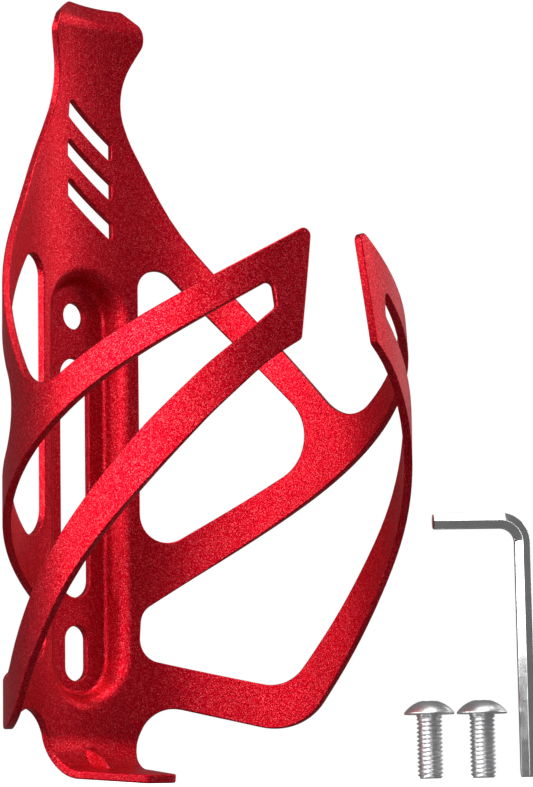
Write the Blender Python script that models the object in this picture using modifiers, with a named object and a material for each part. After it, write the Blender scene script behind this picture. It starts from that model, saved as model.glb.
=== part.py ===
"""Sheet metal bicycle bottle cage with its two mounting bolts and hex key.

Units are metres, +Z up. The origin is on the plane that the bicycle frame
touches, midway between the two bolt positions. The bottle stands in front of
it, towards -Y, on a vertical axis.

The cage is one sheet. Its flat blank is drawn in (u, v): u runs around the
bottle from the middle of the spine, and v runs up the sheet. The blank is then
rolled around the bottle, the spine's channel is pressed in, the tongue is
leaned forward and its lip flared, and the foot is bent under the bottle.
"""

import math

import bmesh
import bpy
from mathutils import Vector

MM = 0.001

# Sheet and roll, in millimetres
SHEET = 1.6
ROLL_RADIUS = 37.5

# How the rolled section differs from a plain circle: fuller at the sides and front,
# with the bands closing in towards their tops and the tabs less so
SIDE_BULGE = 0.5
BACK_FLAT = 0.63
FRONT_SPREAD = 0.2
PINCH_START = 70.0
PINCH_BLEND = 8.0
PINCH_SLOPE = 0.102
TAB_MIDDLE = 88.0
TAB_SLOPE = 0.035

# The two wings are not bent quite alike: the right one ends closer in and higher
SPRING_START = 45.0
SPRING_LENGTH = 60.0
SPRING_IN = 2.3
SPRING_UP = 1.4

# Channel pressed into the spine
CHANNEL_HALF = 10.5
CHANNEL_DEPTH = 3.6
CHANNEL_BEND = 2.0
CHANNEL_WALL = math.radians(66.0)
CHANNEL_LOW = 23.4
CHANNEL_HIGH = 89.4

# The channel's wall, seen from the front: a bend, a straight run and a bend
RAMP_ARC_WIDTH = CHANNEL_BEND * math.sin(CHANNEL_WALL)
RAMP_ARC_DEPTH = CHANNEL_BEND * (1 - math.cos(CHANNEL_WALL))
RAMP_WIDTH = 2 * RAMP_ARC_WIDTH + (CHANNEL_DEPTH - 2 * RAMP_ARC_DEPTH) / math.tan(CHANNEL_WALL)

# Bolt hole, adjusting slot and the long window between them
HOLE_RADIUS = 2.6
HOLE_Z = 90.2
SLOT_HALF = 2.65
SLOT_Z = 24.2
SLOT_TRAVEL = 5.3
WINDOW_HALF = 3.5
WINDOW_LOW = 35.0
WINDOW_HIGH = 81.8

# Slanted slots in the tongue
TONGUE_SLOT_PITCH = 7.95
TONGUE_SLOT_COUNT = 3
TONGUE_SLOT_CORNER = 0.5

# Tongue
LEAN_START = 122.0
LEAN_RADIUS = 71.5
LEAN_ANGLE = math.radians(19.7)
CREST_RADIUS = 2.9
LIP_ANGLE = math.radians(21.0)
LIP_LENGTH = 2.85

# Foot
FOOT_BEND = 8.0
FOOT_DROOP = math.radians(4.1)
FOOT_TURN = math.pi / 2 - FOOT_DROOP
FOOT_FLAT = 15.3
FOOT_BEND_TOP = 9.0
RIB_CENTRE = 0.8
RIB_HALF_LENGTH = 4.4
RIB_HALF_WIDTH = 1.7
RIB_HEIGHT = 1.8

# Origin, measured from the bottle axis and from just below the foot's bend
ORIGIN_Y = ROLL_RADIUS + CHANNEL_DEPTH + SHEET / 2
ORIGIN_Z = (HOLE_Z + SLOT_Z) / 2

# The foot's tip is the lowest point of the cage, and the loose pieces stand level with it
FLOOR_Z = FOOT_BEND_TOP - FOOT_BEND * math.sin(FOOT_TURN) - FOOT_FLAT * math.cos(FOOT_TURN)
FLOOR_Z -= SHEET / 2 * math.cos(FOOT_DROOP)

# Roll facets, chord steps and small radii of the blank
ROLL_STEP = math.radians(7.5)
ARC_STEP = math.radians(11.0)

# Bolts: M5 button heads, 12 mm long
BOLT_RADIUS = 2.45
BOLT_LENGTH = 12.0
HEAD_RADIUS = 4.75
HEAD_HEIGHT = 2.75
SOCKET_WIDTH = 3.02
SOCKET_DEPTH = 1.6
TIP_CHAMFER = 0.45

# Hex key, 3 mm across flats
KEY_WIDTH = 2.96
KEY_LONG = 50.0
KEY_SHORT = 18.5
KEY_BEND = 4.2

# Where the loose pieces stand, from the bottle axis
BOLT_SPOTS = {"mounting_bolt_1": (42.8, -12.4), "mounting_bolt_2": (50.5, -18.8)}
KEY_SPOT = (57.1, -24.4)
KEY_HEADING = math.radians(140.0)


def fillet(corners, steps=ARC_STEP):
    """Round each (u, v, radius) corner of a closed outline with an arc."""
    outline = []
    count = len(corners)
    for i, (u, v, radius) in enumerate(corners):
        corner = Vector((u, v))
        before = Vector(corners[i - 1][:2]) - corner
        after = Vector(corners[(i + 1) % count][:2]) - corner
        turn = math.pi - before.angle(after)
        if radius == 0 or turn < 1e-4:
            outline.append((u, v))
            continue
        reach = radius * math.tan(turn / 2)
        start = corner + before.normalized() * reach
        bisector = (before.normalized() + after.normalized()).normalized()
        centre = corner + bisector * (radius / math.cos(turn / 2))
        sign = 1.0 if before.cross(after) < 0 else -1.0
        pieces = max(2, math.ceil(turn / steps))
        arm = start - centre
        for k in range(pieces + 1):
            angle = sign * turn * k / pieces
            c = math.cos(angle)
            s = math.sin(angle)
            outline.append((centre.x + c * arm.x - s * arm.y, centre.y + s * arm.x + c * arm.y))
    return outline


def mirrored(points):
    """The same closed loop on the other side of the spine."""
    return [(-u, v) for u, v in reversed(points)]


def stadium(half, low, high, pieces=12):
    """A vertical slot outline: half width, and the centres of its two round ends."""
    loop = []
    for k in range(pieces + 1):
        angle = math.pi * k / pieces
        loop.append((half * math.cos(angle), high + half * math.sin(angle)))
    for k in range(pieces + 1):
        angle = math.pi * (1 + k / pieces)
        loop.append((half * math.cos(angle), low + half * math.sin(angle)))
    return loop


def circle(radius, v, pieces=20):
    """A round hole on the spine's centre line."""
    angles = [2 * math.pi * k / pieces for k in range(pieces)]
    return [(radius * math.cos(a), v + radius * math.sin(a)) for a in angles]


def blank_outline():
    """The outer edge of the whole flat blank."""
    lean = LEAN_RADIUS * LEAN_ANGLE
    top = LEAN_START + lean + CREST_RADIUS * (LEAN_ANGLE + LIP_ANGLE) + LIP_LENGTH
    tip = FOOT_BEND_TOP - FOOT_BEND * FOOT_TURN - FOOT_FLAT
    right = [
        (6.7, top, 1.5),
        (11.8, 146.9, 3.2),
        (6.7, 134.8, 16.0),
        (10.8, 125.4, 30.0),
        (20.1, 108.5, 60.0),
        (56.1, 66.7, 9.9),
        (81.9, 80.5, 150.0),
        (110.5, 95.9, 1.4),
        (107.2, 74.8, 1.2),
        (101.1, 71.1, 40.0),
        (90.8, 61.5, 60.0),
        (65.3, 35.2, 150.0),
        (43.9, 7.7, 12.6),
        (20.8, 13.1, 12.0),
        (13.5, 14.4, 7.5),
        (9.7, 1.7, 10.0),
        (8.3, -4.8, 12.0),
        (3.6, tip, 2.2),
    ]
    half = fillet([(0.0, top, 0.0)] + right + [(0.0, tip, 0.0)])[1:-1]
    return half + mirrored(half)


def closed_window():
    """The upper window of a wing, between the spine and the two branches."""
    return fillet([(12.2, 105.8, 3.9), (51.7, 64.1, 9.2), (12.2, 41.8, 5.6)])


def long_window():
    """The lower window of a wing, which runs on into the tab at the front."""
    corners = [
        (12.3, 32.2, 4.0),
        (71.4, 68.2, 150.0),
        (102.0, 85.2, 1.1),
        (102.6, 80.3, 1.0),
        (90.3, 70.2, 60.0),
        (80.3, 60.7, 60.0),
        (61.0, 40.4, 150.0),
        (41.6, 16.8, 8.5),
        (11.7, 23.3, 4.6),
    ]
    return fillet(corners)


def tongue_slots():
    """Three parallel slanted slots."""
    loops = []
    for k in range(TONGUE_SLOT_COUNT):
        drop = -k * TONGUE_SLOT_PITCH
        corners = [
            (-4.3, 132.9 + drop),
            (6.5, 124.7 + drop),
            (6.5, 121.1 + drop),
            (-4.3, 129.1 + drop),
        ]
        loops.append(fillet([(u, v, TONGUE_SLOT_CORNER) for u, v in corners], math.radians(40)))
    return loops


def channel_depth(u, v):
    """How far the channel sinks the sheet at (u, v)."""
    nearest = min(max(v, CHANNEL_LOW), CHANNEL_HIGH)
    inside = CHANNEL_HALF - math.hypot(u, v - nearest)
    if inside <= 0.0:
        return 0.0
    if inside < RAMP_ARC_WIDTH:
        return CHANNEL_BEND - math.sqrt(CHANNEL_BEND ** 2 - inside ** 2)
    left = RAMP_WIDTH - inside
    if left > RAMP_ARC_WIDTH:
        return RAMP_ARC_DEPTH + (inside - RAMP_ARC_WIDTH) * math.tan(CHANNEL_WALL)
    if left > 0.0:
        return CHANNEL_DEPTH - CHANNEL_BEND + math.sqrt(CHANNEL_BEND ** 2 - left ** 2)
    return CHANNEL_DEPTH


def ramp_rings():
    """Distances in from the channel's mouth at which its wall gets a line of edges."""
    steps = [CHANNEL_BEND * math.sin(CHANNEL_WALL * k / 3) for k in range(1, 4)]
    return steps + [RAMP_WIDTH - step for step in reversed([0.0] + steps)]


def spine_line(v):
    """The spine's own line at height v: forward distance, height and lean angle."""
    if v < FOOT_BEND_TOP:
        angle = min((FOOT_BEND_TOP - v) / FOOT_BEND, FOOT_TURN)
        flat = max(0.0, FOOT_BEND_TOP - v - FOOT_BEND * FOOT_TURN)
        forward = FOOT_BEND * (1 - math.cos(angle)) + flat * math.sin(angle)
        height = FOOT_BEND_TOP - FOOT_BEND * math.sin(angle) - flat * math.cos(angle)
        return forward, height, -angle
    if v <= LEAN_START:
        return 0.0, v, 0.0
    angle = min((v - LEAN_START) / LEAN_RADIUS, LEAN_ANGLE)
    forward = LEAN_RADIUS * (1 - math.cos(angle))
    height = LEAN_START + LEAN_RADIUS * math.sin(angle)
    rest = v - LEAN_START - LEAN_RADIUS * LEAN_ANGLE
    if rest > 0:
        flare = min(rest / CREST_RADIUS, LEAN_ANGLE + LIP_ANGLE)
        angle = LEAN_ANGLE - flare
        forward += CREST_RADIUS * (math.cos(angle) - math.cos(LEAN_ANGLE))
        height += CREST_RADIUS * (math.sin(LEAN_ANGLE) - math.sin(angle))
        lip = max(0.0, rest - CREST_RADIUS * (LEAN_ANGLE + LIP_ANGLE))
        forward += lip * math.sin(angle)
        height += lip * math.cos(angle)
    return forward, height, angle


def spring(u):
    """How far along its spring-back a point of the right wing is, from 0 to 1."""
    share = min(max((u - SPRING_START) / SPRING_LENGTH, 0.0), 1.0)
    return share * share * (3 - 2 * share)


def rolled(u, v):
    """The rolled section at height v: sideways place and forward distance from the spine."""
    phi = u / ROLL_RADIUS
    above = v - PINCH_START
    if abs(above) < PINCH_BLEND:
        above = (above + PINCH_BLEND) ** 2 / (4 * PINCH_BLEND)
    pinch = PINCH_SLOPE * max(0.0, above) - FRONT_SPREAD
    radius = ROLL_RADIUS + (SIDE_BULGE - BACK_FLAT * math.cos(phi)) * math.sin(phi) ** 2
    radius -= pinch * math.sin(phi / 2) ** 4
    radius += TAB_SLOPE * (v - TAB_MIDDLE) * math.sin(phi / 2) ** 16
    radius -= SPRING_IN * spring(u)
    return radius * math.sin(phi), ROLL_RADIUS - radius * math.cos(phi)


def rib_height(u, v):
    """The small stiffening rib pressed up across the inside of the foot's bend."""
    across = 1 - abs(u) / RIB_HALF_WIDTH
    along = 1 - ((v - RIB_CENTRE) / RIB_HALF_LENGTH) ** 2
    return RIB_HEIGHT * max(0.0, across) * max(0.0, along)


def formed(u, v):
    """The place in space of point (u, v) of the sheet's middle surface."""
    forward, height, angle = spine_line(v)
    sideways, inward = rolled(u, v)
    if v < FOOT_BEND_TOP:
        flatten = max(0.0, 1 + (v - FOOT_BEND_TOP) / (FOOT_BEND * FOOT_TURN))
        sideways = u + (sideways - u) * flatten
        inward *= flatten
    depth = channel_depth(u, v)
    inward = inward * (1 - depth / CHANNEL_DEPTH) - depth + rib_height(u, v)
    y = -(forward + inward * math.cos(angle)) + ROLL_RADIUS - ORIGIN_Y
    z = height + SPRING_UP * spring(u) - inward * math.sin(angle) - ORIGIN_Z
    return Vector((sideways, y, z)) * MM


def fill_flat(name, loops, sheet):
    """Add the area between closed loops to the flat sheet, as a filled 2D curve."""
    curve = bpy.data.curves.new(name, "CURVE")
    curve.dimensions = "2D"
    curve.fill_mode = "BOTH"
    for loop in loops:
        spline = curve.splines.new("POLY")
        spline.points.add(len(loop) - 1)
        for point, (u, v) in zip(spline.points, loop):
            point.co = (u, v, 0.0, 1.0)
        spline.use_cyclic_u = True
    guide = bpy.data.objects.new(name, curve)
    bpy.context.scene.collection.objects.link(guide)
    bpy.context.view_layer.update()
    graph = bpy.context.evaluated_depsgraph_get()
    flat = bpy.data.meshes.new_from_object(guide.evaluated_get(graph))
    sheet.from_mesh(flat)
    bpy.data.objects.remove(guide)
    bpy.data.curves.remove(curve)
    bpy.data.meshes.remove(flat)


def score(sheet, axis, place):
    """Put a line of edges across the whole flat sheet at u or v = place."""
    normal = Vector((1, 0, 0)) if axis == "u" else Vector((0, 1, 0))
    everything = sheet.verts[:] + sheet.edges[:] + sheet.faces[:]
    bmesh.ops.bisect_plane(sheet, geom=everything, dist=1e-5, plane_co=normal * place, plane_no=normal)


def make_blank():
    """The flat sheet with its windows, holes and the lines it is bent along."""
    sheet = bmesh.new()
    mouth = stadium(CHANNEL_HALF, CHANNEL_LOW, CHANNEL_HIGH)
    wing = [closed_window(), long_window()]
    windows = wing + [mirrored(loop) for loop in wing] + tongue_slots()
    fill_flat("plate", [blank_outline(), mouth] + windows, sheet)
    ring = mouth
    for distance in ramp_rings():
        inner = stadium(CHANNEL_HALF - distance, CHANNEL_LOW, CHANNEL_HIGH)
        fill_flat("ramp", [ring, inner], sheet)
        ring = inner
    slot_ends = (SLOT_Z - SLOT_TRAVEL / 2, SLOT_Z + SLOT_TRAVEL / 2)
    holes = [
        circle(HOLE_RADIUS, HOLE_Z),
        stadium(SLOT_HALF, slot_ends[0], slot_ends[1], 10),
        stadium(WINDOW_HALF, WINDOW_LOW + WINDOW_HALF, WINDOW_HIGH - WINDOW_HALF, 10),
    ]
    fill_flat("floor", [ring] + holes, sheet)
    bmesh.ops.remove_doubles(sheet, verts=sheet.verts, dist=1e-4)
    for k in range(-22, 23):
        score(sheet, "u", k * ROLL_STEP * ROLL_RADIUS)
    return sheet


def add_bend_lines(sheet):
    """Lines across the tongue and the foot where the sheet curves lengthwise."""
    for k in range(7):
        score(sheet, "v", LEAN_START + LEAN_RADIUS * LEAN_ANGLE * k / 6)
    crest = LEAN_START + LEAN_RADIUS * LEAN_ANGLE
    for k in range(1, 5):
        score(sheet, "v", crest + CREST_RADIUS * (LEAN_ANGLE + LIP_ANGLE) * k / 4)
    for k in range(8):
        score(sheet, "v", FOOT_BEND_TOP - FOOT_BEND * FOOT_TURN * k / 7)


def add_rib_lines(sheet):
    """Lines along the foot that give its rib a shape."""
    for place in (-1.0, 1.0):
        near = [f for f in sheet.faces if f.calc_center_median().y < FOOT_BEND_TOP - 1.0]
        edges = {e for f in near for e in f.edges}
        verts = {v for e in edges for v in e.verts}
        parts = list(verts) + list(edges) + near
        origin = Vector((place * RIB_HALF_WIDTH, 0, 0))
        bmesh.ops.bisect_plane(sheet, geom=parts, dist=1e-5, plane_co=origin, plane_no=Vector((1, 0, 0)))


def make_cage(collection):
    """Form the blank and give it the sheet's thickness."""
    sheet = make_blank()
    add_bend_lines(sheet)
    add_rib_lines(sheet)
    bmesh.ops.triangulate(sheet, faces=sheet.faces, quad_method="BEAUTY", ngon_method="BEAUTY")
    bmesh.ops.recalc_face_normals(sheet, faces=sheet.faces)
    for vert in sheet.verts:
        vert.co = formed(vert.co.x, vert.co.y)
    mesh = bpy.data.meshes.new("cage_body")
    sheet.to_mesh(mesh)
    sheet.free()
    cage = bpy.data.objects.new("cage_body", mesh)
    collection.objects.link(cage)
    thick = cage.modifiers.new("thickness", "SOLIDIFY")
    thick.thickness = SHEET * MM
    thick.offset = 0.0
    thick.use_even_offset = True
    return cage


def turned(name, profile, spot, collection):
    """A body turned about the vertical axis, standing at a spot beside the cage."""
    mesh = bpy.data.meshes.new(name)
    edges = [(i, i + 1) for i in range(len(profile) - 1)]
    mesh.from_pydata([(r * MM, 0.0, z * MM) for r, z in profile], edges, [])
    made = bpy.data.objects.new(name, mesh)
    collection.objects.link(made)
    made.location = Vector((spot[0], spot[1] - ORIGIN_Y, FLOOR_Z - ORIGIN_Z)) * MM
    screw = made.modifiers.new("turn", "SCREW")
    screw.steps = 32
    screw.render_steps = 32
    screw.use_merge_vertices = True
    screw.merge_threshold = 0.00001
    return made


def bolt_profile():
    """A button head bolt from the top of its head down to its tip."""
    rim = 0.35
    drop = HEAD_HEIGHT - rim
    dome = (drop ** 2 + HEAD_RADIUS ** 2) / (2 * drop)
    sweep = math.asin(HEAD_RADIUS / dome)
    top = BOLT_LENGTH + HEAD_HEIGHT
    points = []
    for k in range(9):
        angle = sweep * k / 8
        points.append((dome * math.sin(angle), top - dome * (1 - math.cos(angle))))
    points.append((HEAD_RADIUS, BOLT_LENGTH))
    points.append((BOLT_RADIUS, BOLT_LENGTH))
    points.append((BOLT_RADIUS, TIP_CHAMFER))
    points.append((BOLT_RADIUS - TIP_CHAMFER, 0.0))
    points.append((0.0, 0.0))
    return points


def cut_socket(bolt, cutters):
    """A hexagon socket in the top of a bolt's head."""
    bpy.ops.mesh.primitive_cylinder_add(
        vertices=6,
        radius=SOCKET_WIDTH / math.sqrt(3) * MM,
        depth=4.0 * MM,
        location=bolt.location + Vector((0, 0, BOLT_LENGTH + HEAD_HEIGHT - SOCKET_DEPTH + 2.0)) * MM,
    )
    cutter = bpy.context.object
    cutter.name = "socket_cutter_" + bolt.name
    for owner in list(cutter.users_collection):
        owner.objects.unlink(cutter)
    cutters.objects.link(cutter)
    cutter.hide_render = True
    cutter.display_type = "WIRE"
    cut = bolt.modifiers.new("socket", "BOOLEAN")
    cut.operation = "DIFFERENCE"
    cut.solver = "EXACT"
    cut.object = cutter


def make_key(collection):
    """The L shaped hex key, standing on the end of its long arm."""
    curve = bpy.data.curves.new("hex_key", "CURVE")
    curve.dimensions = "3D"
    curve.bevel_depth = KEY_WIDTH / math.sqrt(3) * MM
    curve.bevel_resolution = 1
    curve.use_fill_caps = True
    half = KEY_WIDTH / 2
    centre = KEY_LONG - half - KEY_BEND
    path = [(0.0, 0.0)]
    for k in range(9):
        angle = math.pi / 2 * k / 8
        path.append((KEY_BEND * (1 - math.cos(angle)), centre + KEY_BEND * math.sin(angle)))
    path.append((KEY_SHORT - half, KEY_LONG - half))
    spline = curve.splines.new("POLY")
    spline.points.add(len(path) - 1)
    for point, (x, z) in zip(spline.points, path):
        point.co = (x * MM, 0.0, z * MM, 1.0)
        point.tilt = math.pi / 6
    key = bpy.data.objects.new("hex_key", curve)
    collection.objects.link(key)
    key.location = Vector((KEY_SPOT[0], KEY_SPOT[1] - ORIGIN_Y, FLOOR_Z - ORIGIN_Z)) * MM
    key.rotation_euler.z = KEY_HEADING
    return key


def material(name, color, roughness, metallic):
    """A plain Principled material."""
    made = bpy.data.materials.new(name)
    made.use_nodes = True
    shader = made.node_tree.nodes["Principled BSDF"]
    shader.inputs["Base Color"].default_value = (*color, 1.0)
    shader.inputs["Roughness"].default_value = roughness
    shader.inputs["Metallic"].default_value = metallic
    return made


def main():
    for old in list(bpy.data.objects):
        bpy.data.objects.remove(old)
    collection = bpy.data.collections.new("bottle_cage")
    cutters = bpy.data.collections.new("cutters")
    bpy.context.scene.collection.children.link(collection)
    bpy.context.scene.collection.children.link(cutters)
    cage = make_cage(collection)
    cage.data.materials.append(material("anodised_red", (0.45, 0.01, 0.03), 0.38, 0.9))
    steel = material("bolt_steel", (0.62, 0.62, 0.63), 0.3, 1.0)
    for name, spot in BOLT_SPOTS.items():
        bolt = turned(name, bolt_profile(), spot, collection)
        bolt.data.materials.append(steel)
        cut_socket(bolt, cutters)
    key = make_key(collection)
    key.data.materials.append(material("key_chrome", (0.75, 0.75, 0.77), 0.12, 1.0))


main()
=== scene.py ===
"""Looks, light and camera for the sheet metal bottle cage, its two bolts and its hex key.

The cage's sheet is formed here by the same steps as in the CAD, from the same flat
blank, with a finer net, rounded sheet edges and exact surface normals. The bolts get
real threads, and the key gets softened corners. Lengths below are in millimetres, apart
from the studio's, which are in metres.
"""

import math

import bmesh
import bpy
import numpy as np
from mathutils import Matrix, Vector

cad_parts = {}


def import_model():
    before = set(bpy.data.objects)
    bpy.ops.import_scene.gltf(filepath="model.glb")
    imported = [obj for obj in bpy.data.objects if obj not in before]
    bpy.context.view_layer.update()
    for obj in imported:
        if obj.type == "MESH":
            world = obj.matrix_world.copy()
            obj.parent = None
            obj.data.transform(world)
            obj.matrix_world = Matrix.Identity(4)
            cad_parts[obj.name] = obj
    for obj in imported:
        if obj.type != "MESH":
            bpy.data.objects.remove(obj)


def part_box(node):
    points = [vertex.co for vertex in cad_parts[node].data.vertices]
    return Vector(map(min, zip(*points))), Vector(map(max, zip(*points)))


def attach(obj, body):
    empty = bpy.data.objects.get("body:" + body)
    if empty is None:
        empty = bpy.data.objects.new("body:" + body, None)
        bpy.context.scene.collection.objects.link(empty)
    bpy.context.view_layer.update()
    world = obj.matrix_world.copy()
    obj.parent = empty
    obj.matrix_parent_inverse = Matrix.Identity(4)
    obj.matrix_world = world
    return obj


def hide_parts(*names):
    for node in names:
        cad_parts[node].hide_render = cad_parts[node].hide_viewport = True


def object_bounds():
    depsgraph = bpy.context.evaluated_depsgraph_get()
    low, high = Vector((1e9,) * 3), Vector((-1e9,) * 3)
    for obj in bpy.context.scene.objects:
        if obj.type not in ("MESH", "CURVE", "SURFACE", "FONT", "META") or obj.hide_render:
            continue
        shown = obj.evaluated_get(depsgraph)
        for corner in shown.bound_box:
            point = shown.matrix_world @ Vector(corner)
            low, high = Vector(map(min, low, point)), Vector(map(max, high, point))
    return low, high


MM = 0.001

# Sheet and roll
SHEET = 1.6
ROLL_RADIUS = 37.5

# How the rolled section differs from a plain circle: fuller at the sides and front,
# with the bands closing in towards their tops and the tabs less so
SIDE_BULGE = 0.5
BACK_FLAT = 0.63
FRONT_SPREAD = 0.2
PINCH_START = 70.0
PINCH_BLEND = 8.0
PINCH_SLOPE = 0.102
TAB_MIDDLE = 88.0
TAB_SLOPE = 0.035

# The two wings are not bent quite alike: the right one ends closer in and higher
SPRING_START = 45.0
SPRING_LENGTH = 60.0
SPRING_IN = 2.3
SPRING_UP = 1.4

# Channel pressed into the spine
CHANNEL_HALF = 10.5
CHANNEL_DEPTH = 3.6
CHANNEL_BEND = 2.0
CHANNEL_WALL = math.radians(66.0)
CHANNEL_LOW = 23.4
CHANNEL_HIGH = 89.4
RAMP_ARC_WIDTH = CHANNEL_BEND * math.sin(CHANNEL_WALL)
RAMP_ARC_DEPTH = CHANNEL_BEND * (1 - math.cos(CHANNEL_WALL))
RAMP_WIDTH = 2 * RAMP_ARC_WIDTH + (CHANNEL_DEPTH - 2 * RAMP_ARC_DEPTH) / math.tan(CHANNEL_WALL)

# Bolt hole, adjusting slot and the long window between them
HOLE_RADIUS = 2.6
HOLE_Z = 90.2
SLOT_HALF = 2.65
SLOT_Z = 24.2
SLOT_TRAVEL = 5.3
WINDOW_HALF = 3.5
WINDOW_LOW = 35.0
WINDOW_HIGH = 81.8

# Slanted slots in the tongue
TONGUE_SLOT_PITCH = 7.95
TONGUE_SLOT_COUNT = 3
TONGUE_SLOT_CORNER = 0.5

# Tongue
LEAN_START = 122.0
LEAN_RADIUS = 71.5
LEAN_ANGLE = math.radians(19.7)
CREST_RADIUS = 2.9
LIP_ANGLE = math.radians(21.0)
LIP_LENGTH = 2.85
CREST_LINE = LEAN_START + LEAN_RADIUS * LEAN_ANGLE
LIP_LINE = CREST_LINE + CREST_RADIUS * (LEAN_ANGLE + LIP_ANGLE)

# Foot
FOOT_BEND = 8.0
FOOT_DROOP = math.radians(4.1)
FOOT_TURN = math.pi / 2 - FOOT_DROOP
FOOT_FLAT = 15.3
FOOT_BEND_TOP = 9.0
RIB_CENTRE = 0.8
RIB_HALF_LENGTH = 4.4
RIB_HALF_WIDTH = 1.7
RIB_HEIGHT = 1.8
# Share of the rib's half width over which its ridge is rounded
RIB_SOFT = 0.15

# Origin, measured from the bottle axis and from the zero line of the flat blank
ORIGIN_Y = ROLL_RADIUS + CHANNEL_DEPTH + SHEET / 2
ORIGIN_Z = (HOLE_Z + SLOT_Z) / 2

# Net of the formed sheet: lines of edges every NET_STEP, and closer ones in the bends
EDGE_ROUND = 0.3
EDGE_STEPS = 4
ARC_STEP = math.radians(5.0)
SLOT_ARC_STEP = math.radians(15.0)
CHANNEL_END_STEPS = 28
HOLE_STEPS = 48
SLOT_END_STEPS = 24
RAMP_ARC_STEPS = 7
NET_STEP = 2.0
NET_LINES_U = range(-57, 58)
NET_LINES_V = range(-10, 78)
CREST_STEPS = 8
FOOT_STEPS = 12
RIB_LINES = (-1.0, -0.75, -0.5, -0.25, 0.25, 0.5, 0.75, 1.0)
RIB_LINES_TOP = FOOT_BEND_TOP - 1.0
CUT_TOLERANCE = 1e-5
WELD_DISTANCE = 1e-4
SLOPE_STEP = 0.01
SEARCH_MARGIN = 1.0
SEARCH_BATCH = 2000
FAR_AWAY = 1e9

# Bolts
THREAD_RADIUS = 2.42
THREAD_DEPTH = 0.42
THREAD_PITCH = 0.8
THREAD_SLOPE = 1.25
THREAD_CREST = 0.12
RUN_OUT_GAP = 0.35
RUN_OUT_LENGTH = 0.5
BOLT_LENGTH = 12.0
BOLT_AROUND = 72
STEPS_PER_PITCH = 14
HEAD_RADIUS = 4.75
HEAD_HEIGHT = 2.75
HEAD_RIM = 0.35
# Rounded lower edge of the head: distance in from its radius, distance up from its underside
HEAD_EDGE = [(0.22, 0.0), (0.1, 0.03), (0.02, 0.12), (0.0, 0.24)]
DOME_STEPS = 22
SOCKET_WIDTH = 3.02
SOCKET_DEPTH = 1.6
SOCKET_CUTTER = 4.0
TIP_CHAMFER = 0.5
BOLT_SHARP = math.radians(42)

# Hex key
KEY_WIDTH = 2.96
KEY_LONG = 50.0
KEY_SHORT = 18.5
KEY_BEND = 4.2
KEY_CORNER = 0.22
KEY_CHAMFER = 0.25
KEY_HEADING = math.radians(140.0)
KEY_BEND_STEPS = 24
KEY_SHARP = math.radians(38)

# Camera, measured as the origin is: from the bottle axis and from the blank's zero line
CAMERA_DISTANCE = 500.0
CAMERA_AZIMUTH = math.radians(41.251)
CAMERA_HEIGHT = 0.5
CAMERA_YAW = math.radians(1.177)
CAMERA_PITCH = math.radians(7.923)
CAMERA_ROLL = math.radians(-0.956)
CAMERA_LENS = 125.1
CAMERA_CLIP = 0.01

# Studio: light from all around, then panels (name, azimuth, elevation, distance, size, power)
FLOOR_REACH = 3.0
FLOOR_SQUARES = 40
AIM_HEIGHT = 20.0
SURROUND_LIGHT = 0.15
SURROUND_SEEN = 1.0
FLOOR_GLOW = 0.9
LAMPS = [
    ("key_panel", -80, 18, 0.75, (0.66, 0.50), 5.2),
    ("left_panel", -120, 8, 0.75, (0.18, 0.60), 1.6),
    ("right_panel", 98, 12, 0.75, (0.12, 0.60), 0.4),
    ("front_panel", 62, 16, 0.80, (0.26, 0.55), 1.4),
    ("top_panel", -30, 70, 0.70, (0.40, 0.40), 2.8),
    ("camera_panel", -38, 4, 1.30, (0.40, 0.35), 1.6),
]


# ---------------------------------------------------------------- flat blank

def fillet(corners, steps=ARC_STEP):
    """Round each (u, v, radius) corner of a closed outline with an arc."""
    outline = []
    count = len(corners)
    for i, (u, v, radius) in enumerate(corners):
        corner = Vector((u, v))
        before = Vector(corners[i - 1][:2]) - corner
        after = Vector(corners[(i + 1) % count][:2]) - corner
        turn = math.pi - before.angle(after)
        if radius == 0 or turn < 1e-4:
            outline.append((u, v))
            continue
        reach = radius * math.tan(turn / 2)
        start = corner + before.normalized() * reach
        bisector = (before.normalized() + after.normalized()).normalized()
        centre = corner + bisector * (radius / math.cos(turn / 2))
        sign = 1.0 if before.cross(after) < 0 else -1.0
        pieces = max(3, math.ceil(turn / steps))
        arm = start - centre
        for k in range(pieces + 1):
            angle = sign * turn * k / pieces
            c = math.cos(angle)
            s = math.sin(angle)
            outline.append((centre.x + c * arm.x - s * arm.y, centre.y + s * arm.x + c * arm.y))
    return outline


def mirrored(points):
    """The same closed loop on the other side of the spine."""
    return [(-u, v) for u, v in reversed(points)]


def stadium(half, low, high, pieces=CHANNEL_END_STEPS):
    """A vertical slot outline: half width, and the centres of its two round ends."""
    loop = []
    for k in range(pieces + 1):
        angle = math.pi * k / pieces
        loop.append((half * math.cos(angle), high + half * math.sin(angle)))
    for k in range(pieces + 1):
        angle = math.pi * (1 + k / pieces)
        loop.append((half * math.cos(angle), low + half * math.sin(angle)))
    return loop


def circle(radius, v, pieces=HOLE_STEPS):
    """A round hole on the spine's centre line."""
    angles = [2 * math.pi * k / pieces for k in range(pieces)]
    return [(radius * math.cos(a), v + radius * math.sin(a)) for a in angles]


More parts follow.
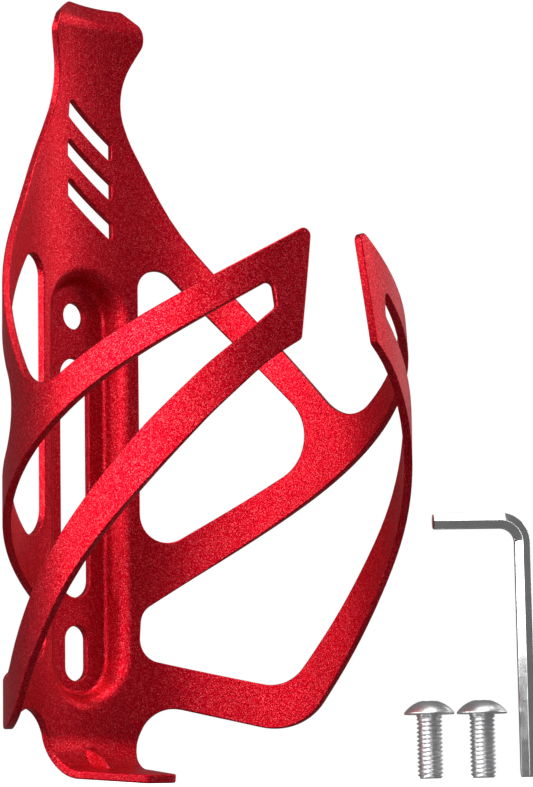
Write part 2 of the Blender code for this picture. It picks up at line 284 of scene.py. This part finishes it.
def blank_outline():
    """The outer edge of the whole flat blank."""
    top = LIP_LINE + LIP_LENGTH
    tip = FOOT_BEND_TOP - FOOT_BEND * FOOT_TURN - FOOT_FLAT
    right = [
        (6.7, top, 1.5),
        (11.8, 146.9, 3.2),
        (6.7, 134.8, 16.0),
        (10.8, 125.4, 30.0),
        (20.1, 108.5, 60.0),
        (56.1, 66.7, 9.9),
        (81.9, 80.5, 150.0),
        (110.5, 95.9, 1.4),
        (107.2, 74.8, 1.2),
        (101.1, 71.1, 40.0),
        (90.8, 61.5, 60.0),
        (65.3, 35.2, 150.0),
        (43.9, 7.7, 12.6),
        (20.8, 13.1, 12.0),
        (13.5, 14.4, 7.5),
        (9.7, 1.7, 10.0),
        (8.3, -4.8, 12.0),
        (3.6, tip, 2.2),
    ]
    half = fillet([(0.0, top, 0.0)] + right + [(0.0, tip, 0.0)])[1:-1]
    return half + mirrored(half)


def closed_window():
    """The upper window of a wing, between the spine and the two branches."""
    return fillet([(12.2, 105.8, 3.9), (51.7, 64.1, 9.2), (12.2, 41.8, 5.6)])


def long_window():
    """The lower window of a wing, which runs on into the tab at the front."""
    corners = [
        (12.3, 32.2, 4.0),
        (71.4, 68.2, 150.0),
        (102.0, 85.2, 1.1),
        (102.6, 80.3, 1.0),
        (90.3, 70.2, 60.0),
        (80.3, 60.7, 60.0),
        (61.0, 40.4, 150.0),
        (41.6, 16.8, 8.5),
        (11.7, 23.3, 4.6),
    ]
    return fillet(corners)


def tongue_slots():
    """Three parallel slanted slots."""
    loops = []
    for k in range(TONGUE_SLOT_COUNT):
        drop = -k * TONGUE_SLOT_PITCH
        corners = [
            (-4.3, 132.9 + drop),
            (6.5, 124.7 + drop),
            (6.5, 121.1 + drop),
            (-4.3, 129.1 + drop),
        ]
        loops.append(fillet([(u, v, TONGUE_SLOT_CORNER) for u, v in corners], SLOT_ARC_STEP))
    return loops


def all_loops():
    """The outline, the windows of both wings and the tongue's slots, then the holes of the channel."""
    wing = [closed_window(), long_window()]
    plate = [blank_outline()] + wing + [mirrored(loop) for loop in wing] + tongue_slots()
    floor = [
        circle(HOLE_RADIUS, HOLE_Z),
        stadium(SLOT_HALF, SLOT_Z - SLOT_TRAVEL / 2, SLOT_Z + SLOT_TRAVEL / 2, SLOT_END_STEPS),
        stadium(WINDOW_HALF, WINDOW_LOW + WINDOW_HALF, WINDOW_HIGH - WINDOW_HALF, SLOT_END_STEPS),
    ]
    return plate, floor


def loop_normals(loop, solid_inside):
    """A loop's points, their unit vectors away from the material, and the mitre's stretch."""
    points = np.array(loop)
    ahead = np.roll(points, -1, axis=0) - points
    ahead /= np.linalg.norm(ahead, axis=1)[:, None]
    behind = np.roll(ahead, 1, axis=0)
    mean = ahead + behind
    mean /= np.linalg.norm(mean, axis=1)[:, None]
    away = np.stack([mean[:, 1], -mean[:, 0]], axis=1)
    x, y = points[:, 0], points[:, 1]
    area = np.sum(x * np.roll(y, -1) - np.roll(x, -1) * y)
    if (area > 0) != solid_inside:
        away = -away
    stretch = 1.0 / np.maximum(0.3, np.sum(mean * ahead, axis=1))
    return points, away, stretch


def inset(loop, distance, solid_inside):
    """The loop moved into the material by a distance."""
    points, away, stretch = loop_normals(loop, solid_inside)
    return [tuple(p) for p in points - away * (stretch * distance)[:, None]]


def fill_flat(name, loops, sheet):
    """Add the area between closed loops to the flat sheet, as a filled 2D curve."""
    curve = bpy.data.curves.new(name, "CURVE")
    curve.dimensions = "2D"
    curve.fill_mode = "BOTH"
    for loop in loops:
        spline = curve.splines.new("POLY")
        spline.points.add(len(loop) - 1)
        for point, (u, v) in zip(spline.points, loop):
            point.co = (u, v, 0.0, 1.0)
        spline.use_cyclic_u = True
    guide = bpy.data.objects.new(name, curve)
    bpy.context.scene.collection.objects.link(guide)
    bpy.context.view_layer.update()
    graph = bpy.context.evaluated_depsgraph_get()
    flat = bpy.data.meshes.new_from_object(guide.evaluated_get(graph))
    sheet.from_mesh(flat)
    bpy.data.objects.remove(guide)
    bpy.data.curves.remove(curve)
    bpy.data.meshes.remove(flat)


def score(sheet, normal, place, faces=None):
    """Put a line of edges across the flat sheet, or across some of its faces."""
    if faces is None:
        parts = sheet.verts[:] + sheet.edges[:] + sheet.faces[:]
    else:
        edges = list(dict.fromkeys(e for f in faces for e in f.edges))
        parts = list(dict.fromkeys(v for e in edges for v in e.verts)) + edges + faces
    bmesh.ops.bisect_plane(
        sheet,
        geom=parts,
        dist=CUT_TOLERANCE,
        plane_co=normal * place,
        plane_no=normal,
    )


def ramp_rings():
    """Distances in from the channel's mouth at which its wall gets a line of edges."""
    shares = [k / RAMP_ARC_STEPS for k in range(1, RAMP_ARC_STEPS + 1)]
    steps = [CHANNEL_BEND * math.sin(CHANNEL_WALL * share) for share in shares]
    return steps + [RAMP_WIDTH - step for step in reversed([0.0] + steps)]


def make_blank():
    """The flat sheet as a net: rings along every cut edge and along the channel, and score lines."""
    sheet = bmesh.new()
    plate, floor = all_loops()
    depths = [EDGE_ROUND * (1 - math.cos(math.pi / 2 * k / EDGE_STEPS)) for k in range(EDGE_STEPS + 1)]
    inner = []
    for number, loop in enumerate(plate + floor):
        rings = [inset(loop, depth, number == 0) for depth in depths]
        for outer_ring, inner_ring in zip(rings, rings[1:]):
            fill_flat("edge", [outer_ring, inner_ring], sheet)
        inner.append(rings[-1])
    mouth = stadium(CHANNEL_HALF, CHANNEL_LOW, CHANNEL_HIGH)
    fill_flat("plate", inner[:len(plate)] + [mouth], sheet)
    ring = mouth
    for distance in ramp_rings():
        next_ring = stadium(CHANNEL_HALF - distance, CHANNEL_LOW, CHANNEL_HIGH)
        fill_flat("ramp", [ring, next_ring], sheet)
        ring = next_ring
    fill_flat("floor", [ring] + inner[len(plate):], sheet)
    bmesh.ops.remove_doubles(sheet, verts=sheet.verts, dist=WELD_DISTANCE)
    across = Vector((1, 0, 0))
    along = Vector((0, 1, 0))
    for k in NET_LINES_U:
        score(sheet, across, k * NET_STEP)
    for k in NET_LINES_V:
        score(sheet, along, k * NET_STEP)
    for k in range(1, CREST_STEPS):
        score(sheet, along, CREST_LINE + (LIP_LINE - CREST_LINE) * k / CREST_STEPS)
    for k in range(1, FOOT_STEPS + 1):
        score(sheet, along, FOOT_BEND_TOP - FOOT_BEND * FOOT_TURN * k / FOOT_STEPS)
    for place in RIB_LINES:
        foot = [f for f in sheet.faces if f.calc_center_median().y < RIB_LINES_TOP]
        score(sheet, across, place * RIB_HALF_WIDTH, foot)
    bmesh.ops.triangulate(sheet, faces=sheet.faces, quad_method="BEAUTY", ngon_method="BEAUTY")
    bmesh.ops.recalc_face_normals(sheet, faces=sheet.faces)
    return sheet, plate, floor


# ---------------------------------------------------------------- forming

def channel_depth(u, v):
    """How far the channel sinks the sheet at (u, v)."""
    nearest = np.clip(v, CHANNEL_LOW, CHANNEL_HIGH)
    inside = CHANNEL_HALF - np.hypot(u, v - nearest)
    first = CHANNEL_BEND - np.sqrt(np.maximum(0.0, CHANNEL_BEND ** 2 - inside ** 2))
    left = RAMP_WIDTH - inside
    wall = RAMP_ARC_DEPTH + (inside - RAMP_ARC_WIDTH) * math.tan(CHANNEL_WALL)
    last = CHANNEL_DEPTH - CHANNEL_BEND + np.sqrt(np.maximum(0.0, CHANNEL_BEND ** 2 - left ** 2))
    depth = np.where(inside < RAMP_ARC_WIDTH, first, np.where(left > RAMP_ARC_WIDTH, wall, last))
    depth = np.where(left <= 0.0, CHANNEL_DEPTH, depth)
    return np.where(inside <= 0.0, 0.0, depth)


def spine_line(v):
    """The spine's own line at height v: forward distance, height and lean angle."""
    angle = np.clip((FOOT_BEND_TOP - v) / FOOT_BEND, 0.0, FOOT_TURN)
    flat = np.maximum(0.0, FOOT_BEND_TOP - v - FOOT_BEND * FOOT_TURN)
    low_forward = FOOT_BEND * (1 - np.cos(angle)) + flat * np.sin(angle)
    low_height = FOOT_BEND_TOP - FOOT_BEND * np.sin(angle) - flat * np.cos(angle)
    lean = np.clip((v - LEAN_START) / LEAN_RADIUS, 0.0, LEAN_ANGLE)
    forward = LEAN_RADIUS * (1 - np.cos(lean))
    height = np.where(v < LEAN_START, v, LEAN_START + LEAN_RADIUS * np.sin(lean))
    flare = np.clip((v - CREST_LINE) / CREST_RADIUS, 0.0, LEAN_ANGLE + LIP_ANGLE)
    tilt = lean - flare
    lip = np.maximum(0.0, v - LIP_LINE)
    forward = forward + CREST_RADIUS * (np.cos(tilt) - np.cos(lean)) + lip * np.sin(tilt)
    height = height + CREST_RADIUS * (np.sin(lean) - np.sin(tilt)) + lip * np.cos(tilt)
    low = v < FOOT_BEND_TOP
    return (
        np.where(low, low_forward, forward),
        np.where(low, low_height, height),
        np.where(low, -angle, tilt),
    )


def spring(u):
    """How far along its spring-back a point of the right wing is, from 0 to 1."""
    share = np.clip((u - SPRING_START) / SPRING_LENGTH, 0.0, 1.0)
    return share * share * (3 - 2 * share)


def rolled(u, v):
    """The rolled section at height v: sideways place and forward distance from the spine."""
    phi = u / ROLL_RADIUS
    above = v - PINCH_START
    blend = (above + PINCH_BLEND) ** 2 / (4 * PINCH_BLEND)
    above = np.where(np.abs(above) < PINCH_BLEND, blend, above)
    pinch = PINCH_SLOPE * np.maximum(0.0, above) - FRONT_SPREAD
    radius = ROLL_RADIUS + (SIDE_BULGE - BACK_FLAT * np.cos(phi)) * np.sin(phi) ** 2
    radius = radius - pinch * np.sin(phi / 2) ** 4
    radius = radius + TAB_SLOPE * (v - TAB_MIDDLE) * np.sin(phi / 2) ** 16
    radius = radius - SPRING_IN * spring(u)
    return radius * np.sin(phi), ROLL_RADIUS - radius * np.cos(phi)


def rib_height(u, v):
    """The small stiffening rib pressed up across the inside of the foot's bend."""
    share = np.abs(u) / RIB_HALF_WIDTH
    rounded = (share ** 2 / RIB_SOFT + RIB_SOFT) / 2
    across = np.maximum(0.0, 1 - np.where(share < RIB_SOFT, rounded, share))
    along = np.maximum(0.0, 1 - ((v - RIB_CENTRE) / RIB_HALF_LENGTH) ** 2)
    return RIB_HEIGHT * across * along


def formed(points):
    """The places in space of (u, v) points of the sheet's middle surface."""
    u, v = points[:, 0], points[:, 1]
    forward, height, angle = spine_line(v)
    sideways, inward = rolled(u, v)
    flatten = np.clip(1 + (v - FOOT_BEND_TOP) / (FOOT_BEND * FOOT_TURN), 0.0, 1.0)
    sideways = u + (sideways - u) * flatten
    inward = inward * flatten
    depth = channel_depth(u, v)
    inward = inward * (1 - depth / CHANNEL_DEPTH) - depth + rib_height(u, v)
    y = -(forward + inward * np.cos(angle)) + ROLL_RADIUS - ORIGIN_Y
    z = height + SPRING_UP * spring(u) - inward * np.sin(angle) - ORIGIN_Z
    return np.stack([sideways, y, z], axis=1)


def unit(vectors):
    """Rows of vectors scaled to length 1."""
    return vectors / np.maximum(1e-12, np.linalg.norm(vectors, axis=1))[:, None]


def surface_frame(points, away):
    """The formed surface's normal, and the direction in it that the flat direction becomes."""
    du = formed(points + (SLOPE_STEP, 0)) - formed(points - (SLOPE_STEP, 0))
    dv = formed(points + (0, SLOPE_STEP)) - formed(points - (0, SLOPE_STEP))
    normal = unit(np.cross(du, dv))
    out = away[:, :1] * du + away[:, 1:] * dv
    out = out - normal * np.sum(out * normal, axis=1)[:, None]
    return normal, unit(out)


def nearest_edge(points, plate, floor):
    """For each flat point: the distance to the nearest cut edge, and the direction towards it."""
    best = np.full(len(points), FAR_AWAY)
    away = np.zeros_like(points)
    for number, loop in enumerate(plate + floor):
        corners, normals, _ = loop_normals(loop, number == 0)
        box_low = corners.min(axis=0) - SEARCH_MARGIN
        box_high = corners.max(axis=0) + SEARCH_MARGIN
        near = np.where(np.all((points > box_low) & (points < box_high), axis=1))[0]
        ends = np.roll(corners, -1, axis=0)
        end_normals = np.roll(normals, -1, axis=0)
        for start in range(0, len(near), SEARCH_BATCH):
            some = near[start:start + SEARCH_BATCH]
            p = points[some][:, None, :]
            run = (ends - corners)[None]
            share = np.sum((p - corners[None]) * run, axis=2) / np.sum(run * run, axis=2)
            share = np.clip(share, 0.0, 1.0)[:, :, None]
            gap = np.linalg.norm(p - (corners[None] + run * share), axis=2)
            pick = np.argmin(gap, axis=1)
            rows = np.arange(len(some))
            found = gap[rows, pick]
            s = share[rows, pick]
            toward = normals[pick] * (1 - s) + end_normals[pick] * s
            better = found < best[some]
            best[some[better]] = found[better]
            away[some[better]] = toward[better]
    return best, unit(away)


def shade_smooth(mesh, sharp=None):
    """Shade a mesh smooth, apart from edges sharper than an angle."""
    mesh.polygons.foreach_set("use_smooth", [True] * len(mesh.polygons))
    if sharp is not None:
        mesh.set_sharp_from_angle(angle=sharp)


def make_cage():
    """Form the blank, give it its thickness and round its edges."""
    sheet, plate, floor = make_blank()
    sheet.verts.ensure_lookup_table()
    sheet.verts.index_update()
    flat = np.array([v.co[:2] for v in sheet.verts])
    faces = [[v.index for v in f.verts] for f in sheet.faces]
    for number, (a, b, c) in enumerate(faces):
        first = flat[b] - flat[a]
        second = flat[c] - flat[a]
        if first[0] * second[1] < first[1] * second[0]:
            faces[number] = [a, c, b]
    rim = [e for e in sheet.edges if len(e.link_faces) == 1]
    distance, away = nearest_edge(flat, plate, floor)
    normal, out = surface_frame(flat, away)
    middle = formed(flat)
    for e in rim:
        for v in e.verts:
            distance[v.index] = 0.0
    fall = np.clip(1 - distance / EDGE_ROUND, 0.0, 1.0)
    lift = np.sqrt(np.maximum(0.0, 1 - fall ** 2))
    half = SHEET / 2 - EDGE_ROUND + EDGE_ROUND * lift
    count = len(flat)
    places = np.concatenate([middle + normal * half[:, None], middle - normal * half[:, None]])
    normals = np.concatenate([
        normal * lift[:, None] + out * fall[:, None],
        -normal * lift[:, None] + out * fall[:, None],
    ])
    net = [tuple(face) for face in faces] + [tuple(i + count for i in face[::-1]) for face in faces]
    directed = {pair for face in faces for pair in zip(face, face[1:] + face[:1])}
    for e in rim:
        a, b = (v.index for v in e.verts)
        if (a, b) not in directed:
            a, b = b, a
        net.append((b, a, a + count, b + count))
    sheet.free()
    mesh = bpy.data.meshes.new("cage_sheet")
    mesh.from_pydata((places * MM).tolist(), [], net)
    mesh.validate(clean_customdata=False)
    shade_smooth(mesh)
    mesh.normals_split_custom_set_from_vertices(unit(normals).tolist())
    cage = bpy.data.objects.new("cage_sheet", mesh)
    bpy.context.scene.collection.objects.link(cage)
    return cage


# ---------------------------------------------------------------- bolts and key

def grid_mesh(name, rings):
    """A closed body from rings of points, with a centre point at each end."""
    around = len(rings[0])
    verts = [p for ring in rings for p in ring]
    faces = []
    for i in range(len(rings) - 1):
        for j in range(around):
            a = i * around + j
            b = i * around + (j + 1) % around
            faces.append((a, b, b + around, a + around))
    first = Vector((0, 0, 0))
    last = Vector((0, 0, 0))
    for p in rings[0]:
        first += Vector(p) / around
    for p in rings[-1]:
        last += Vector(p) / around
    low = len(verts)
    verts += [tuple(first), tuple(last)]
    top = (len(rings) - 1) * around
    for j in range(around):
        k = (j + 1) % around
        faces.append((low, k, j))
        faces.append((low + 1, top + j, top + k))
    mesh = bpy.data.meshes.new(name)
    mesh.from_pydata([tuple(c * MM for c in p) for p in verts], [], faces)
    made = bpy.data.objects.new(name, mesh)
    bpy.context.scene.collection.objects.link(made)
    return made


def thread_radius(z, turn):
    """The thread's radius at a height and a share of a turn, with its run-out and chamfer."""
    wave = abs(((z / THREAD_PITCH - turn) % 1.0) * 2 - 1)
    cut = THREAD_DEPTH * min(1.0, max(0.0, wave * THREAD_SLOPE - THREAD_CREST))
    fade = min(1.0, max(0.0, (BOLT_LENGTH - RUN_OUT_GAP - z) / RUN_OUT_LENGTH))
    radius = THREAD_RADIUS - cut * fade
    return min(radius, THREAD_RADIUS - TIP_CHAMFER + z)


def bolt_rings():
    """Rings of points up the threaded shank and over the head, ending near the dome's top."""
    turns = [j / BOLT_AROUND for j in range(BOLT_AROUND)]
    circle_points = [(math.cos(2 * math.pi * t), math.sin(2 * math.pi * t)) for t in turns]
    rings = []
    steps = round(BOLT_LENGTH / THREAD_PITCH * STEPS_PER_PITCH)
    for i in range(steps + 1):
        z = BOLT_LENGTH * i / steps
        radii = [thread_radius(z, t) for t in turns]
        rings.append([(r * c, r * s, z) for r, (c, s) in zip(radii, circle_points)])
    drop = HEAD_HEIGHT - HEAD_RIM
    dome = (drop ** 2 + HEAD_RADIUS ** 2) / (2 * drop)
    sweep = math.asin(HEAD_RADIUS / dome)
    top = BOLT_LENGTH + HEAD_HEIGHT
    profile = [(HEAD_RADIUS - inward, BOLT_LENGTH + upward) for inward, upward in HEAD_EDGE]
    for k in range(DOME_STEPS):
        angle = sweep * (1 - k / DOME_STEPS)
        profile.append((dome * math.sin(angle), top - dome * (1 - math.cos(angle))))
    for r, z in profile:
        rings.append([(r * c, r * s, z) for c, s in circle_points])
    return rings


def make_bolt(name, original):
    """A button head bolt with a real thread, standing where the CAD's bolt stands."""
    low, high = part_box(original)
    foot = Vector(((low[0] + high[0]) / 2, (low[1] + high[1]) / 2, low[2]))
    bolt = grid_mesh(name, bolt_rings())
    cutter = bmesh.new()
    across = SOCKET_WIDTH / math.sqrt(3) * MM
    middle = BOLT_LENGTH + HEAD_HEIGHT - SOCKET_DEPTH + SOCKET_CUTTER / 2
    bmesh.ops.create_cone(
        cutter,
        cap_ends=True,
        segments=6,
        radius1=across,
        radius2=across,
        depth=SOCKET_CUTTER * MM,
        matrix=Matrix.Translation((0, 0, middle * MM)),
    )
    cut_mesh = bpy.data.meshes.new(name + "_socket")
    cutter.to_mesh(cut_mesh)
    cutter.free()
    tool = bpy.data.objects.new(name + "_socket", cut_mesh)
    bpy.context.scene.collection.objects.link(tool)
    socket = bolt.modifiers.new("socket", "BOOLEAN")
    socket.operation = "DIFFERENCE"
    socket.solver = "EXACT"
    socket.object = tool
    bpy.context.view_layer.update()
    graph = bpy.context.evaluated_depsgraph_get()
    cut = bpy.data.meshes.new_from_object(bolt.evaluated_get(graph))
    bolt.modifiers.clear()
    bolt.data = cut
    bpy.data.objects.remove(tool)
    bolt.data.transform(Matrix.Translation(foot))
    shade_smooth(bolt.data, BOLT_SHARP)
    return bolt


def make_key(original):
    """The L shaped hex key with softened corners, a round bend and chamfered ends."""
    low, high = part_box(original)
    half = KEY_WIDTH / 2
    section = []
    for k in range(6):
        angle = math.pi / 3 * k
        reach = (half - KEY_CORNER) / math.cos(math.pi / 6)
        centre = (reach * math.cos(angle), reach * math.sin(angle))
        for j in range(-2, 3):
            a = angle + j * math.pi / 12
            section.append((centre[0] + KEY_CORNER * math.cos(a), centre[1] + KEY_CORNER * math.sin(a)))
    bend_start = KEY_LONG - half - KEY_BEND
    stations = [(0.0, 0.0, 0.0, 1 - KEY_CHAMFER / half), (0.0, KEY_CHAMFER, 0.0, 1.0)]
    for k in range(KEY_BEND_STEPS + 1):
        angle = math.pi / 2 * k / KEY_BEND_STEPS
        x = KEY_BEND * (1 - math.cos(angle))
        stations.append((x, bend_start + KEY_BEND * math.sin(angle), angle, 1.0))
    stations.append((KEY_SHORT - half - KEY_CHAMFER, KEY_LONG - half, math.pi / 2, 1.0))
    stations.append((KEY_SHORT - half, KEY_LONG - half, math.pi / 2, 1 - KEY_CHAMFER / half))
    rings = []
    for x, z, angle, size in stations:
        ring = []
        for a, b in section:
            ring.append((x - b * size * math.cos(angle), a * size, z + b * size * math.sin(angle)))
        rings.append(ring)
    key = grid_mesh("hex_key_body", rings)
    turn = Matrix.Rotation(KEY_HEADING, 4, "Z")
    key.data.transform(turn)
    corners = [v.co for v in key.data.vertices]
    centre = [(min(c[i] for c in corners) + max(c[i] for c in corners)) / 2 for i in range(2)]
    shift = Vector(((low[0] + high[0]) / 2 - centre[0], (low[1] + high[1]) / 2 - centre[1], low[2]))
    key.data.transform(Matrix.Translation(shift))
    mesh = bmesh.new()
    mesh.from_mesh(key.data)
    bmesh.ops.recalc_face_normals(mesh, faces=mesh.faces)
    mesh.to_mesh(key.data)
    mesh.free()
    shade_smooth(key.data, KEY_SHARP)
    weight = key.modifiers.new("weight", "WEIGHTED_NORMAL")
    weight.keep_sharp = True
    return key


# ---------------------------------------------------------------- materials

def node(tree, kind, **values):
    """Add a shader node and set its attributes and inputs."""
    made = tree.nodes.new(kind)
    for name, value in values.items():
        if hasattr(made, name):
            setattr(made, name, value)
        else:
            made.inputs[name.replace("_", " ")].default_value = value
    return made


def ramp(tree, source, stops):
    """A colour ramp from (place, colour) stops."""
    made = tree.nodes.new("ShaderNodeValToRGB")
    while len(made.color_ramp.elements) < len(stops):
        made.color_ramp.elements.new(0.5)
    for element, (place, colour) in zip(made.color_ramp.elements, stops):
        element.position = place
        element.color = (*colour, 1.0)
    tree.links.new(source, made.inputs["Fac"])
    return made.outputs["Color"]


def new_material(name):
    """A material with its node tree, its Principled shader and the object's own coordinates."""
    made = bpy.data.materials.new(name)
    made.use_nodes = True
    tree = made.node_tree
    coords = node(tree, "ShaderNodeTexCoord")
    return made, tree, tree.nodes["Principled BSDF"], coords.outputs["Object"]


def pattern(tree, kind, place, **values):
    """A procedural texture at some coordinates."""
    made = node(tree, kind, **values)
    tree.links.new(place, made.inputs["Vector"])
    return made


def spread_roughness(tree, shader, source, smooth, rough):
    """Let a pattern vary the shader's roughness between two values."""
    made = node(tree, "ShaderNodeMapRange", To_Min=smooth, To_Max=rough)
    tree.links.new(source, made.inputs["Value"])
    tree.links.new(made.outputs["Result"], shader.inputs["Roughness"])


def emboss(tree, shader, source, strength, distance):
    """Let a pattern tilt the shader's normal."""
    made = node(tree, "ShaderNodeBump", Strength=strength, Distance=distance)
    tree.links.new(source, made.inputs["Height"])
    tree.links.new(made.outputs["Normal"], shader.inputs["Normal"])


def anodised():
    """Blasted and red anodised aluminium: a metallic grain of small bright and dark facets."""
    made, tree, shader, place = new_material("anodised_red")
    link = tree.links.new
    grain = pattern(tree, "ShaderNodeTexVoronoi", place, Scale=7000.0)
    fine = pattern(tree, "ShaderNodeTexNoise", place, Scale=2600.0, Detail=3.0, Roughness=0.65)
    broad = pattern(tree, "ShaderNodeTexNoise", place, Scale=60.0, Detail=2.0)
    split = node(tree, "ShaderNodeSeparateColor")
    link(grain.outputs["Color"], split.inputs["Color"])
    tint = ramp(tree, split.outputs["Red"], [
        (0.0, (0.46, 0.0005, 0.009)),
        (0.50, (0.62, 0.0020, 0.016)),
        (0.80, (0.80, 0.020, 0.038)),
        (1.0, (0.95, 0.110, 0.125)),
    ])
    shade = ramp(tree, broad.outputs["Fac"], [(0.3, (0.93, 0.93, 0.93)), (0.7, (1.0, 1.0, 1.0))])
    mix = node(tree, "ShaderNodeMix", data_type="RGBA", blend_type="MULTIPLY")
    mix.inputs["Factor"].default_value = 1.0
    link(tint, mix.inputs["A"])
    link(shade, mix.inputs["B"])
    link(mix.outputs["Result"], shader.inputs["Base Color"])
    spread_roughness(tree, shader, split.outputs["Green"], 0.34, 0.50)
    height = node(tree, "ShaderNodeMath", operation="ADD")
    link(split.outputs["Blue"], height.inputs[0])
    link(fine.outputs["Fac"], height.inputs[1])
    emboss(tree, shader, height.outputs["Value"], 0.8, 0.00004)
    shader.inputs["Metallic"].default_value = 1.0
    return made


def brushed_steel():
    """Turned stainless steel: fine rings with a slight mottling."""
    made, tree, shader, place = new_material("bolt_steel")
    stretch = pattern(tree, "ShaderNodeMapping", place, Scale=(350.0, 350.0, 5200.0))
    lines = pattern(tree, "ShaderNodeTexNoise", stretch.outputs["Vector"], Scale=1.0, Detail=3.0)
    tint = ramp(tree, lines.outputs["Fac"], [(0.3, (0.84, 0.84, 0.85)), (0.7, (0.95, 0.95, 0.96))])
    tree.links.new(tint, shader.inputs["Base Color"])
    spread_roughness(tree, shader, lines.outputs["Fac"], 0.26, 0.40)
    emboss(tree, shader, lines.outputs["Fac"], 0.2, 0.00002)
    shader.inputs["Metallic"].default_value = 1.0
    return made


def chrome():
    """Bright plating with a very faint haze."""
    made, tree, shader, place = new_material("key_chrome")
    haze = pattern(tree, "ShaderNodeTexNoise", place, Scale=420.0, Detail=4.0)
    tint = ramp(tree, haze.outputs["Fac"], [(0.35, (0.86, 0.86, 0.87)), (0.65, (0.94, 0.94, 0.95))])
    tree.links.new(tint, shader.inputs["Base Color"])
    spread_roughness(tree, shader, haze.outputs["Fac"], 0.06, 0.16)
    shader.inputs["Metallic"].default_value = 1.0
    return made


def floor_white():
    """Plain white paper that glows a little, so that no shadow shows."""
    made, tree, shader, place = new_material("studio_floor")
    cloud = pattern(tree, "ShaderNodeTexNoise", place, Scale=9.0, Detail=2.0)
    tint = ramp(tree, cloud.outputs["Fac"], [(0.3, (0.90, 0.90, 0.90)), (0.7, (0.93, 0.93, 0.93))])
    tree.links.new(tint, shader.inputs["Base Color"])
    shader.inputs["Roughness"].default_value = 0.9
    shader.inputs["Emission Color"].default_value = (1.0, 1.0, 1.0, 1.0)
    shader.inputs["Emission Strength"].default_value = FLOOR_GLOW
    return made


# ---------------------------------------------------------------- studio

def make_camera():
    """The camera stands in front of the cage, to the left, at about floor level."""
    away = Vector((math.sin(CAMERA_AZIMUTH), math.cos(CAMERA_AZIMUTH), 0.0))
    place = -away * CAMERA_DISTANCE + Vector((0, 0, CAMERA_HEIGHT)) - Vector((0, ORIGIN_Y, ORIGIN_Z))
    heading = CAMERA_AZIMUTH + CAMERA_YAW
    level = Vector((math.sin(heading), math.cos(heading), 0.0))
    forward = level * math.cos(CAMERA_PITCH) + Vector((0, 0, math.sin(CAMERA_PITCH)))
    right = Vector((level.y, -level.x, 0.0))
    above = right.cross(forward)
    side = right * math.cos(CAMERA_ROLL) + above * math.sin(CAMERA_ROLL)
    up = above * math.cos(CAMERA_ROLL) - right * math.sin(CAMERA_ROLL)
    camera = bpy.data.objects.new("camera", bpy.data.cameras.new("camera"))
    bpy.context.scene.collection.objects.link(camera)
    turn = Matrix((side, up, -forward)).transposed().to_4x4()
    camera.matrix_world = Matrix.Translation(place * MM) @ turn
    camera.data.lens = CAMERA_LENS
    camera.data.clip_start = CAMERA_CLIP
    bpy.context.scene.camera = camera


def area_light(name, azimuth, elevation, distance, size, power):
    """A soft panel of light, aimed at the middle of the cage. Azimuth 0 is the front, minus is left."""
    data = bpy.data.lights.new(name, "AREA")
    data.shape = "RECTANGLE"
    data.size = size[0]
    data.size_y = size[1]
    data.energy = power
    lamp = bpy.data.objects.new(name, data)
    bpy.context.scene.collection.objects.link(lamp)
    a = math.radians(azimuth)
    e = math.radians(elevation)
    middle = Vector((0.0, -ORIGIN_Y, AIM_HEIGHT)) * MM
    arm = Vector((math.sin(a) * math.cos(e), -math.cos(a) * math.cos(e), math.sin(e)))
    lamp.location = middle + arm * distance
    lamp.rotation_euler = arm.to_track_quat("Z", "Y").to_euler()


def make_studio(floor_z):
    """A pale floor, a surround that looks white and lights the cage dimly, and soft panels."""
    mesh = bmesh.new()
    bmesh.ops.create_grid(mesh, x_segments=FLOOR_SQUARES, y_segments=FLOOR_SQUARES, size=FLOOR_REACH)
    data = bpy.data.meshes.new("studio_floor")
    mesh.to_mesh(data)
    mesh.free()
    floor = bpy.data.objects.new("studio_floor", data)
    bpy.context.scene.collection.objects.link(floor)
    floor.location.z = floor_z
    data.materials.append(floor_white())
    floor.visible_glossy = False
    floor.visible_diffuse = False
    world = bpy.data.worlds.new("studio")
    bpy.context.scene.world = world
    world.use_nodes = True
    tree = world.node_tree
    background = tree.nodes["Background"]
    background.inputs["Color"].default_value = (1.0, 1.0, 1.0, 1.0)
    seen = tree.nodes.new("ShaderNodeLightPath")
    strength = tree.nodes.new("ShaderNodeMapRange")
    strength.inputs["To Min"].default_value = SURROUND_LIGHT
    strength.inputs["To Max"].default_value = SURROUND_SEEN
    tree.links.new(seen.outputs["Is Camera Ray"], strength.inputs["Value"])
    tree.links.new(strength.outputs["Result"], background.inputs["Strength"])
    bpy.context.scene.view_settings.view_transform = "Standard"
    for lamp in LAMPS:
        area_light(*lamp)


def main():
    """Build the scene around the frame."""
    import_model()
    cad_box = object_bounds()
    make_camera()
    make_studio(cad_box[0][2])
    red = anodised()
    steel = brushed_steel()
    cage = make_cage()
    cage.data.materials.append(red)
    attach(cage, "cage")
    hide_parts("cage_body")
    for number in (1, 2):
        bolt = make_bolt(f"bolt_{number}_threaded", f"mounting_bolt_{number}")
        bolt.data.materials.clear()
        bolt.data.materials.append(steel)
        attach(bolt, f"bolt_{number}")
        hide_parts(f"mounting_bolt_{number}")
    key = make_key("hex_key")
    key.data.materials.append(chrome())
    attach(key, "key")
    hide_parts("hex_key")


main()
